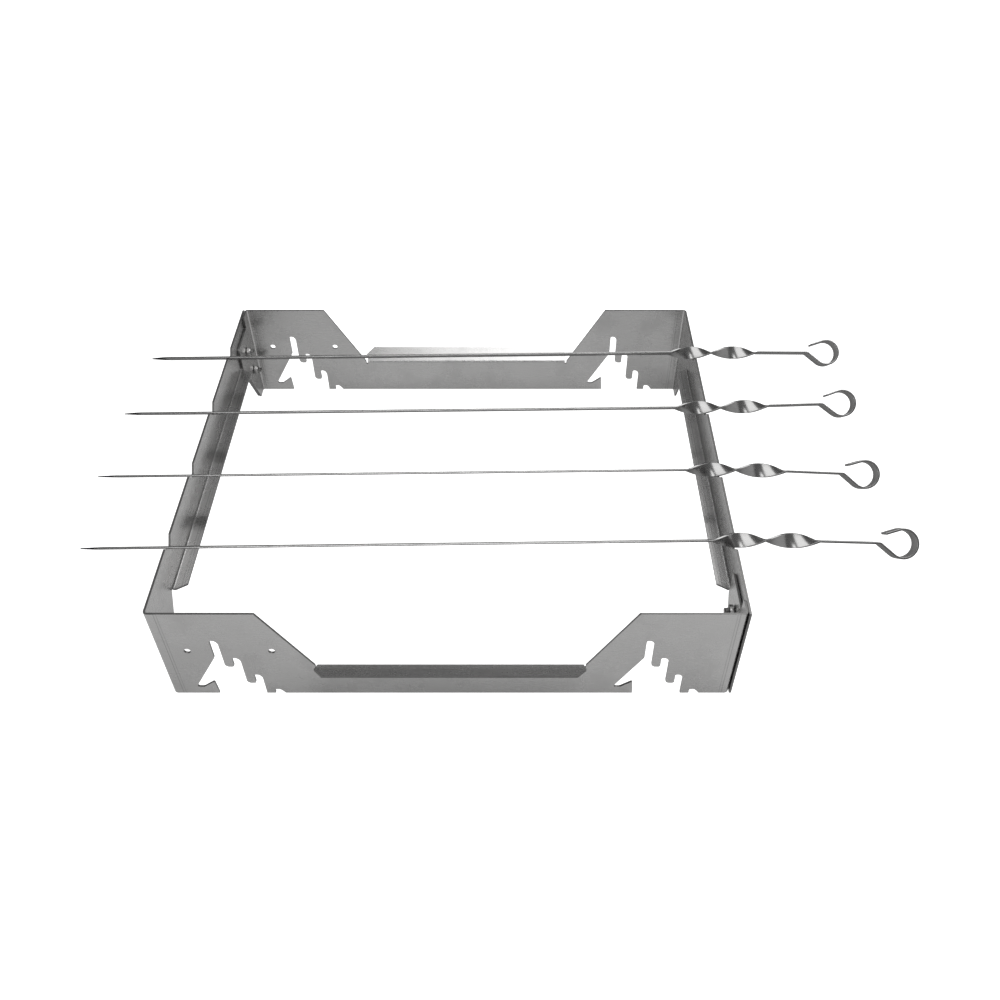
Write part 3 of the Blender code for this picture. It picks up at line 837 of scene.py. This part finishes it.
class ShapeTree(NodeTree):
    """Builds one Geometry Nodes tree and applies it to an object."""

    def __init__(self, name: str) -> None:
        """Starts the tree with a geometry input and output.

        Args:
            name: The tree's name.
        """
        super().__init__(bpy.data.node_groups.new(name, "GeometryNodeTree"))
        self.tree.interface.new_socket("Geometry", in_out="INPUT", socket_type="NodeSocketGeometry")
        self.tree.interface.new_socket("Geometry", in_out="OUTPUT", socket_type="NodeSocketGeometry")
        self.entry = self.tree.nodes.new("NodeGroupInput")
        self.exit = self.tree.nodes.new("NodeGroupOutput")

    def size(self, name: str, kind: str = "NodeSocketFloat") -> str:
        """Adds a named input, and hands back its name."""
        self.tree.interface.new_socket(name, in_out="INPUT", socket_type=kind)
        return name

    def close(self, geometry: bpy.types.NodeSocket, material: bpy.types.Material) -> None:
        """Ends the tree in realised geometry with one material.

        Args:
            geometry: The last geometry socket.
            material: The material.
        """
        real = self.add("GeometryNodeRealizeInstances", {}, {0: geometry})
        dressed = self.add("GeometryNodeSetMaterial", {}, {"Geometry": real.outputs[0], "Material": material})
        self.tree.links.new(dressed.outputs[0], self.exit.inputs[0])

    def apply(self, base: bpy.types.Object, values: dict[str, Any], name: str) -> bpy.types.Object:
        """Evaluates the tree on an object and keeps the result as a plain mesh.

        Args:
            base: The object the tree starts from, which is removed.
            values: Values of the named inputs.
            name: Name of the new object.

        Returns:
            The new object.
        """
        modifier = base.modifiers.new("shape", "NODES")
        modifier.node_group = self.tree
        for item in self.tree.interface.items_tree:
            if item.item_type == "SOCKET" and item.in_out == "INPUT" and item.name in values:
                modifier[item.identifier] = values[item.name]
        graph = bpy.context.evaluated_depsgraph_get()
        mesh = bpy.data.meshes.new_from_object(base.evaluated_get(graph))
        base.modifiers.remove(modifier)
        bpy.data.objects.remove(base, do_unlink=True)
        mesh.name = name
        return linked(name, mesh)


# ---------------------------------------------------------------- skewers

@dataclass
class Station:
    """One cross-section of a skewer's strip.

    Args:
        centre: Its centre.
        across: Half of its width, as a vector.
        through: Half of its thickness, as a vector.
        along: Distance from the point.
    """

    centre: Vector
    across: Vector
    through: Vector
    along: float


@dataclass
class SkewerSet:
    """Four flat skewers with a full twist and a ring. Sizes are in metres."""

    rack: SheetFrame
    width: float = 0.0100
    thickness: float = 0.0015
    corner: float = 0.00030
    corner_points: int = 3
    point_length: float = 0.0140
    point_width: float = 0.0012
    blade_length: float = 0.4150
    twist_length: float = 0.0700
    shank_length: float = 0.0397
    bend_radius: float = 0.0030
    ring_radius: float = 0.00952
    ring_offset: float = 0.0152
    ring_opening: float = math.radians(108)
    ring_tail: float = 0.0090
    overhangs: tuple[float, ...] = (0.0555, 0.0640, 0.0640, 0.0605)
    shank_sets: tuple[float, ...] = (-2.3, -3.0, 1.1, -1.0)
    lean: float = math.radians(135)
    twist_gap: float = 0.00065
    point_steps: int = 14
    blade_steps: int = 20
    twist_steps: int = 120

    def station(self, x: float, y: float, heading: float, along: float, twist: float = 0.0,
                width: float | None = None, thickness: float | None = None) -> Station:
        """A section on a path in the XY plane, its width along Z until it is twisted.

        Args:
            x: First coordinate of its centre.
            y: Second coordinate of its centre.
            heading: Direction of the path.
            along: Distance from the point.
            twist: Turn about the path.
            width: Width, if it isn't the strip's.
            thickness: Thickness, if it isn't the strip's.

        Returns:
            The section.
        """
        normal = Vector((-math.sin(heading), math.cos(heading), 0))
        up = Vector((0, 0, 1))
        across = up * math.cos(twist) + normal * math.sin(twist)
        through = normal * math.cos(twist) - up * math.sin(twist)
        return Station(Vector((x, y, 0)), across * (width or self.width) / 2,
                       through * (thickness or self.thickness) / 2, along)

    def twist_angle(self, x: float) -> float:
        """How far the strip has turned at this distance from the point."""
        return math.tau * min(max((x - self.blade_length) / self.twist_length, 0), 1)

    def stations(self) -> list[Station]:
        """The sections of a whole skewer, from its point to the end of its ring.

        Returns:
            The stations.
        """
        found = []
        for step in range(self.point_steps + 1):
            share = step / self.point_steps
            width = self.point_width + (self.width - self.point_width) * math.sin(share * math.pi / 2)
            thickness = self.thickness * (0.45 + 0.55 * share)
            x = self.point_length * share
            found.append(self.station(x, 0, 0, x, 0, width, thickness))
        for step in range(1, self.blade_steps + 1):
            x = self.point_length + (self.blade_length - self.point_length) * step / self.blade_steps
            found.append(self.station(x, 0, 0, x))
        for step in range(1, self.twist_steps + 1):
            x = self.blade_length + self.twist_length * step / self.twist_steps
            found.append(self.station(x, 0, 0, x, self.twist_angle(x)))
        return found + self.ring()

    def ring(self) -> list[Station]:
        """The sections of the shank's end, the bend, the straight run, the ring and its tail.

        Returns:
            The stations.
        """
        dip = math.asin(self.ring_radius / self.ring_offset)
        bend_cut = self.bend_radius * math.tan(dip / 2)
        x = self.blade_length + self.twist_length + self.shank_length - bend_cut
        y, heading, along = 0.0, 0.0, x
        found = [self.station(x, y, heading, along)]
        legs = (
            (self.bend_radius, -dip, 12),
            (self.ring_radius / math.tan(dip) - bend_cut, 0.0, 2),
            (self.ring_radius, self.ring_opening + math.pi / 2 + dip, 84),
            (self.ring_tail, 0.0, 2),
        )
        for size, turn, steps in legs:
            for _ in range(steps):
                chord = 2 * size * math.sin(abs(turn) / steps / 2) if turn else size / steps
                x += chord * math.cos(heading + turn / steps / 2)
                y += chord * math.sin(heading + turn / steps / 2)
                heading += turn / steps
                along += chord
                found.append(self.station(x, y, heading, along))
        return found

    def nested(self, lean: float, gap: float) -> Point2:
        """Centre of the strip above a notch's vertex when it rests on both flanks.

        Args:
            lean: Angle of its width.
            gap: Clearance to each flank.

        Returns:
            Its place along Y and Z from the vertex.
        """
        wide, thin = self.width / 2, self.thickness / 2
        rear = wide * abs(math.cos(lean + math.pi / 4)) + thin * abs(math.sin(lean + math.pi / 4))
        front = wide * abs(math.cos(lean - math.pi / 4)) + thin * abs(math.sin(lean - math.pi / 4))
        return (front - rear) / math.sqrt(2), (front + rear + 2 * gap) / math.sqrt(2)

    def matrix(self, index: int) -> Matrix:
        """Place of a skewer in its two notches.

        Args:
            index: Which skewer.

        Returns:
            The matrix.
        """
        rack = self.rack
        overhang = self.overhangs[index]
        wall = rack.width / 2 - rack.sheet / 2
        offset = rack.notch_pitch * (index - (rack.notch_count - 1) / 2)
        right_lean = self.lean - self.twist_angle(overhang + rack.width - rack.sheet / 2)
        left_y, left_z = self.nested(self.lean, rack.gap)
        right_y, right_z = self.nested(right_lean, self.twist_gap)
        vertex = rack.height - rack.notch_depth
        left = Vector((rack.middle - wall, offset + left_y, vertex + left_z))
        right = Vector((rack.middle + wall, offset + right_y, vertex + right_z))
        along = (right - left).normalized()
        across = Vector((0, math.cos(self.lean), math.sin(self.lean)))
        through = across.cross(along).normalized()
        across = along.cross(through)
        matrix = Matrix((along, through, across)).transposed().to_4x4()
        matrix.translation = left - along * (overhang + rack.sheet / 2)
        return matrix

    def with_set(self, station: Station, turn: float) -> Station:
        """Turns a section past the middle of the twist a little, as hand-bent skewers are.

        Args:
            station: The section.
            turn: How far, in radians.

        Returns:
            The section in its new place.
        """
        pivot = Vector((self.blade_length + self.twist_length / 2, 0, 0))
        if station.centre.x <= pivot.x:
            return station
        rotation = Matrix.Rotation(turn, 3, "Z")
        return Station(pivot + rotation @ (station.centre - pivot), rotation @ station.across,
                       rotation @ station.through, station.along)

    def path(self, index: int) -> bpy.types.Object:
        """The skewer's centre line as a mesh of edges that carries each section's directions.

        Args:
            index: Which skewer.

        Returns:
            The object.
        """
        matrix = self.matrix(index)
        turn = matrix.to_3x3()
        bent = math.radians(self.shank_sets[index])
        stations = [self.with_set(station, bent) for station in self.stations()]
        mesh = bpy.data.meshes.new("path")
        points = [matrix @ station.centre for station in stations]
        mesh.from_pydata(points, [(step, step + 1) for step in range(len(points) - 1)], [])
        for key in ("centre", "across", "through"):
            mesh.attributes.new(key, "FLOAT_VECTOR", "POINT")
        mesh.attributes.new("along", "FLOAT", "POINT")
        for number, (station, point) in enumerate(zip(stations, points)):
            mesh.attributes["centre"].data[number].vector = point
            mesh.attributes["across"].data[number].vector = turn @ station.across
            mesh.attributes["through"].data[number].vector = turn @ station.through
            mesh.attributes["along"].data[number].value = station.along
        return linked("path", mesh)

    def strip_tree(self, material: bpy.types.Material) -> ShapeTree:
        """The tree that lays a rounded flat section along a centre line.

        Args:
            material: The skewers' material.

        Returns:
            The tree.
        """
        work = ShapeTree("flat_strip")
        width, thickness, corner = work.size("Width"), work.size("Thickness"), work.size("Corner radius")
        entry = work.entry.outputs
        line = work.add("GeometryNodeMeshToCurve", {}, {0: entry["Geometry"]})
        flat = work.add("GeometryNodeCurvePrimitiveQuadrilateral", {}, {
            "Width": entry[width], "Height": entry[thickness]})
        soft = work.add("GeometryNodeFilletCurve", {"mode": "POLY"}, {
            "Curve": flat.outputs[0], "Radius": entry[corner], "Count": self.corner_points})
        where = work.add("GeometryNodeInputPosition")
        half_w = work.add("ShaderNodeMath", {"operation": "MULTIPLY"}, {0: entry[width], 1: 0.5})
        half_t = work.add("ShaderNodeMath", {"operation": "MULTIPLY"}, {0: entry[thickness], 1: 0.5})
        halves = work.add("ShaderNodeCombineXYZ", {}, {0: half_w.outputs[0], 1: half_t.outputs[0], 2: 1.0})
        unit = work.add("ShaderNodeVectorMath", {"operation": "DIVIDE"}, {
            0: where.outputs[0], 1: halves.outputs[0]})
        marked = work.add("GeometryNodeStoreNamedAttribute", {"data_type": "FLOAT_VECTOR", "domain": "POINT"},
                          {"Geometry": soft.outputs[0], "Name": "section", "Value": unit.outputs[0]})
        swept = work.add("GeometryNodeCurveToMesh", {}, {
            "Curve": line.outputs[0], "Profile Curve": marked.outputs[0], "Fill Caps": True})
        read = {}
        for key in ("centre", "across", "through", "section"):
            named = work.add("GeometryNodeInputNamedAttribute", {"data_type": "FLOAT_VECTOR"}, {"Name": key})
            read[key] = named.outputs[0]
        parts = work.add("ShaderNodeSeparateXYZ", {}, {0: read["section"]})
        sideways = work.add("ShaderNodeVectorMath", {"operation": "SCALE"}, {
            0: read["across"], "Scale": parts.outputs[0]})
        outwards = work.add("ShaderNodeVectorMath", {"operation": "SCALE"}, {
            0: read["through"], "Scale": parts.outputs[1]})
        reach = work.add("ShaderNodeVectorMath", {"operation": "ADD"}, {
            0: sideways.outputs[0], 1: outwards.outputs[0]})
        total = work.add("ShaderNodeVectorMath", {"operation": "ADD"}, {
            0: reach.outputs[0], 1: read["centre"]})
        placed = work.add("GeometryNodeSetPosition", {}, {
            "Geometry": swept.outputs[0], "Position": total.outputs[0]})
        work.close(placed.outputs[0], material)
        return work

    def build(self, finish: PolishedStrip) -> None:
        """Builds the skewers.

        Args:
            finish: Their finish.
        """
        tree = self.strip_tree(finish.make())
        sizes = {"Width": self.width, "Thickness": self.thickness, "Corner radius": self.corner}
        for index in range(len(self.overhangs)):
            piece = tree.apply(self.path(index), sizes, f"spit_{index + 1}_strip")
            shape = bmesh.new()
            shape.from_mesh(piece.data)
            bmesh.ops.recalc_face_normals(shape, faces=shape.faces)
            shape.to_mesh(piece.data)
            shape.free()
            piece.data.shade_smooth()
            piece.data.set_sharp_from_angle(angle=math.radians(50))
            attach(piece, f"spit_{index + 1}")
            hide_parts(f"skewer_{index + 1}")
            LOG.info("%s: %d faces", piece.name, len(piece.data.polygons))


# ---------------------------------------------------------------- fasteners

@dataclass
class BoltSet:
    """The screws and nuts of the two bolted corners. Sizes are in metres."""

    rack: SheetFrame
    diameter: float = 0.0040
    pitch: float = 0.0007
    head_diameter: float = 0.0080
    head_height: float = 0.0026
    screw_end: float = 0.0031
    recess_width: float = 0.0011
    recess_length: float = 0.0044
    recess_depth: float = 0.0014
    flats: float = 0.0070
    nut_height: float = 0.0032
    nut_chamfer: float = 0.0005
    steps: int = 48

    def screw_profile(self) -> list[Point2]:
        """The screw's outline from its head to its threaded end, as (x, radius).

        Returns:
            The points.
        """
        radius, head = self.diameter / 2, self.head_diameter / 2
        length = 2 * self.rack.sheet + 3 * self.rack.gap + self.nut_height + self.screw_end
        dome = self.head_height * 0.62
        points = [(-self.head_height, 0.0)]
        for step in range(1, 13):
            turn = math.pi / 2 * step / 12
            points.append((-self.head_height + dome * (1 - math.cos(turn)), head * math.sin(turn)))
        points += [(-0.00015, head), (0.0, head - 0.00015), (0.0, radius), (0.0006, radius)]
        x = 0.0010
        while x + self.pitch < length - 0.0006:
            points += [(x, radius), (x + self.pitch / 2, radius - 0.00032)]
            x += self.pitch
        points += [(length - 0.0006, radius), (length, radius - 0.0005), (length, 0.0)]
        return points

    def revolve(self, profile: list[Point2]) -> bmesh.types.BMesh:
        """A closed solid of revolution about X.

        Args:
            profile: (x, radius) points that start and end on the axis.

        Returns:
            The solid.
        """
        shape = bmesh.new()
        rings = []
        for x, radius in profile:
            around = [(0.0, 0.0)] if radius == 0 else circle(0, 0, radius, self.steps)
            rings.append([shape.verts.new((x, y, z)) for y, z in around])
        for first, second in zip(rings, rings[1:]):
            for step in range(self.steps):
                after = (step + 1) % self.steps
                corners = [first[step % len(first)], second[step % len(second)],
                           second[after % len(second)], first[after % len(first)]]
                unique = list(dict.fromkeys(corners))
                shape.faces.new(unique)
        bmesh.ops.recalc_face_normals(shape, faces=shape.faces)
        return shape

    def screw(self, material: bpy.types.Material) -> bpy.types.Object:
        """One screw along X with a cross in its head.

        Args:
            material: Its material.

        Returns:
            The screw.
        """
        piece = into_object("screw", self.revolve(self.screw_profile()), [material], 35)
        cross = bmesh.new()
        depth = self.recess_depth
        for size_y, size_z in ((self.recess_length, self.recess_width), (self.recess_width, self.recess_length)):
            made = bmesh.ops.create_cube(cross, size=1.0)["verts"]
            place = Matrix.Translation((-self.head_height - 0.001 + (depth + 0.001) / 2, 0, 0))
            stretch = Matrix.Diagonal((depth + 0.001, size_y, size_z, 1.0))
            bmesh.ops.transform(cross, matrix=place @ stretch, verts=made)
        cutter = into_object("cross", cross, [material], 35)
        cut = piece.modifiers.new("cross", "BOOLEAN")
        cut.operation = "DIFFERENCE"
        cut.solver = "EXACT"
        cut.use_self = True
        cut.object = cutter
        graph = bpy.context.evaluated_depsgraph_get()
        mesh = bpy.data.meshes.new_from_object(piece.evaluated_get(graph))
        bpy.data.objects.remove(piece, do_unlink=True)
        bpy.data.objects.remove(cutter, do_unlink=True)
        return linked("screw", mesh)

    def nut(self, material: bpy.types.Material) -> bpy.types.Object:
        """One hexagon nut along X, its corners turned down and its bore chamfered.

        Args:
            material: Its material.

        Returns:
            The nut.
        """
        shape = bmesh.new()
        corner = self.flats / 2 / math.cos(math.pi / 6)
        low = self.flats / 2 - self.nut_chamfer / 3
        bore = self.rack.bolt_hole_radius
        sides = ((0.0, low), (self.nut_chamfer, corner), (self.nut_height - self.nut_chamfer, corner),
                 (self.nut_height, low))
        rings = []
        for x, reach in sides:
            ring = []
            for step in range(self.steps):
                angle = math.tau * step / self.steps
                from_flat = (angle + math.pi / 6) % (math.pi / 3) - math.pi / 6
                radius = min(self.flats / 2 / math.cos(from_flat), reach)
                ring.append(shape.verts.new((x, *turned(radius, 0, angle))))
            rings.append(ring)
        for x, radius in ((self.nut_height, bore + 0.0003), (self.nut_height - 0.0003, bore), (0.0003, bore),
                          (0.0, bore + 0.0003)):
            rings.append([shape.verts.new((x, y, z)) for y, z in circle(0, 0, radius, self.steps)])
        rings.append(rings[0])
        for first, second in zip(rings, rings[1:]):
            for step in range(self.steps):
                after = (step + 1) % self.steps
                shape.faces.new((first[step], second[step], second[after], first[after]))
        bmesh.ops.recalc_face_normals(shape, faces=shape.faces)
        return into_object("nut", shape, [material], 25)

    def places(self, along: float) -> bpy.types.Object:
        """Points of the four bolts that carry each one's turn about Z.

        Args:
            along: Distance inwards from the left wall's outer face.

        Returns:
            The points' object.
        """
        rack = self.rack
        points, turns = [], []
        for sign, turn in ((1, 0.0), (-1, math.pi)):
            for inset, height in rack.bolts:
                x = sign * (along - rack.width / 2)
                points.append((rack.middle + x, sign * (rack.depth / 2 - inset), height))
                turns.append((0.0, 0.0, turn))
        mesh = bpy.data.meshes.new("places")
        mesh.from_pydata(points, [], [])
        mesh.attributes.new("turn", "FLOAT_VECTOR", "POINT")
        for number, value in enumerate(turns):
            mesh.attributes["turn"].data[number].vector = value
        return linked("places", mesh)

    def set_out(self, part: bpy.types.Object, along: float, material: bpy.types.Material,
                name: str) -> bpy.types.Object:
        """Sets a part out at the four bolts.

        Args:
            part: The part, which is removed.
            along: Its distance from the wall's outer face.
            material: Its material.
            name: Name of the result.

        Returns:
            One mesh with all four.
        """
        work = ShapeTree(name + "_row")
        work.size("Part", "NodeSocketObject")
        info = work.add("GeometryNodeObjectInfo", {"transform_space": "ORIGINAL"}, {
            "Object": work.entry.outputs["Part"]})
        turn = work.add("GeometryNodeInputNamedAttribute", {"data_type": "FLOAT_VECTOR"}, {"Name": "turn"})
        points = work.add("GeometryNodeMeshToPoints", {}, {0: work.entry.outputs["Geometry"]})
        row = work.add("GeometryNodeInstanceOnPoints", {}, {
            "Points": points.outputs[0], "Instance": info.outputs["Geometry"], "Rotation": turn.outputs[0]})
        work.close(row.outputs[0], material)
        piece = work.apply(self.places(along), {"Part": part}, name)
        bpy.data.objects.remove(part, do_unlink=True)
        return piece

    def build(self, finish: PlatedFastener) -> None:
        """Builds all screws and nuts.

        Args:
            finish: Their finish.
        """
        rack = self.rack
        material = finish.make()
        names = [f"{corner}_{level}" for corner in ("rear_left", "front_right") for level in ("upper", "lower")]
        screws = self.set_out(self.screw(material), -rack.gap, material, "screws")
        nuts = self.set_out(self.nut(material), 2 * rack.sheet + 2 * rack.gap, material, "nuts")
        for piece, kind in ((screws, "screw"), (nuts, "nut")):
            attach(piece, "rack")
            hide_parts(*[f"{kind}_{name}" for name in names])
            LOG.info("%s: %d faces", piece.name, len(piece.data.polygons))


# ---------------------------------------------------------------- studio

@dataclass(frozen=True)
class Lamp:
    """One soft rectangular light.

    Args:
        name: Its name.
        place: Where it hangs.
        aim: What it points at.
        size: Its two sides.
        radiance: How bright its face is.
    """

    name: str
    place: Corner
    aim: Corner
    size: Point2
    radiance: float


@dataclass
class Studio:
    """Camera, floor and light.

    Args:
        stand: Place of the camera.
        tilt: How far it looks down, in degrees.
        lens: Focal length for a sensor of 36 mm.
        shift: Sideways shift of the picture.
        floor_size: Side of the floor.
        floor_drop: How far the floor lies below the feet.
        sky: Brightness of the surround in reflections, at the horizon and above sky_top.
        sky_top: Height, as the sine of an angle, where it stops changing.
        lamps: The lights.
    """

    stand: Corner = (0.01155, -0.5470, 0.5670)
    tilt: float = 45.0
    lens: float = 35.93
    shift: float = -0.011
    floor_size: float = 8.0
    floor_drop: float = 0.0004
    sky: Point2 = (0.22, 0.26)
    sky_top: float = 0.8
    lamps: tuple[Lamp, ...] = (
        Lamp("overhead", (0.9, 0.4, 2.5), (0.9, 0.4, 0.0), (2.4, 3.2), 2.3),
        Lamp("behind_camera", (-0.12, -0.747, 0.745), (-0.12, 0.0, 0.08), (0.76, 0.26), 3.2),
    )

    def build(self) -> None:
        """Sets the camera, lays the floor and hangs the lights."""
        self.set_camera()
        self.lay_floor()
        self.light()

    def set_camera(self) -> None:
        """Makes the camera."""
        data = bpy.data.cameras.new("camera")
        data.lens = self.lens
        data.sensor_width = 36.0
        data.shift_x = self.shift
        data.clip_start = 0.01
        camera = linked("camera", data)
        camera.location = self.stand
        camera.rotation_euler = (math.radians(90 - self.tilt), 0.0, 0.0)
        bpy.context.scene.camera = camera

    def lay_floor(self) -> None:
        """Makes the floor."""
        shape = bmesh.new()
        bmesh.ops.create_grid(shape, x_segments=1, y_segments=1, size=self.floor_size / 2)
        bmesh.ops.translate(shape, vec=(0, 0, -self.floor_drop), verts=shape.verts)
        floor = into_object("floor", shape, [PaleFloor("pale_floor").make()])

    def light(self) -> None:
        """Makes the surround and hangs the lights."""
        bpy.context.scene.view_settings.view_transform = "Standard"
        self.make_surround()
        for lamp in self.lamps:
            data = bpy.data.lights.new(lamp.name, "AREA")
            data.shape = "RECTANGLE"
            data.size, data.size_y = lamp.size
            data.energy = lamp.radiance * math.pi * lamp.size[0] * lamp.size[1]
            stand = linked(lamp.name, data)
            stand.location = lamp.place
            stand.rotation_euler = (Vector(lamp.aim) - Vector(lamp.place)).to_track_quat("-Z", "Y").to_euler()

    def make_surround(self) -> None:
        """Makes a surround that is white behind the object and dimmer in its reflections."""
        world = bpy.data.worlds.new("surround")
        world.use_nodes = True
        work = NodeTree(world.node_tree)
        direction = work.add("ShaderNodeTexCoord").outputs["Generated"]
        height = work.add("ShaderNodeSeparateXYZ", {}, {0: direction}).outputs[2]
        fade = work.add("ShaderNodeMapRange", {}, {0: height, 2: self.sky_top, 3: self.sky[0], 4: self.sky[1]})
        seen = work.add("ShaderNodeLightPath").outputs["Is Camera Ray"]
        brighter = work.add("ShaderNodeMath", {"operation": "MAXIMUM"}, {0: fade.outputs[0], 1: seen})
        background = world.node_tree.nodes["Background"]
        background.inputs[0].default_value = (1.0, 1.0, 1.0, 1.0)
        world.node_tree.links.new(brighter.outputs[0], background.inputs[1])
        bpy.context.scene.world = world


def main() -> None:
    """Builds the studio and every sub-assembly."""
    Studio().build()
    rack = SheetFrame()
    rack.build(RolledSheet("rolled_sheet"), SheetEdge("sheet_edge"))
    SkewerSet(rack).build(PolishedStrip("polished_strip"))
    BoltSet(rack).build(PlatedFastener("plated_fastener"))


if __name__ == "__main__":
    main()
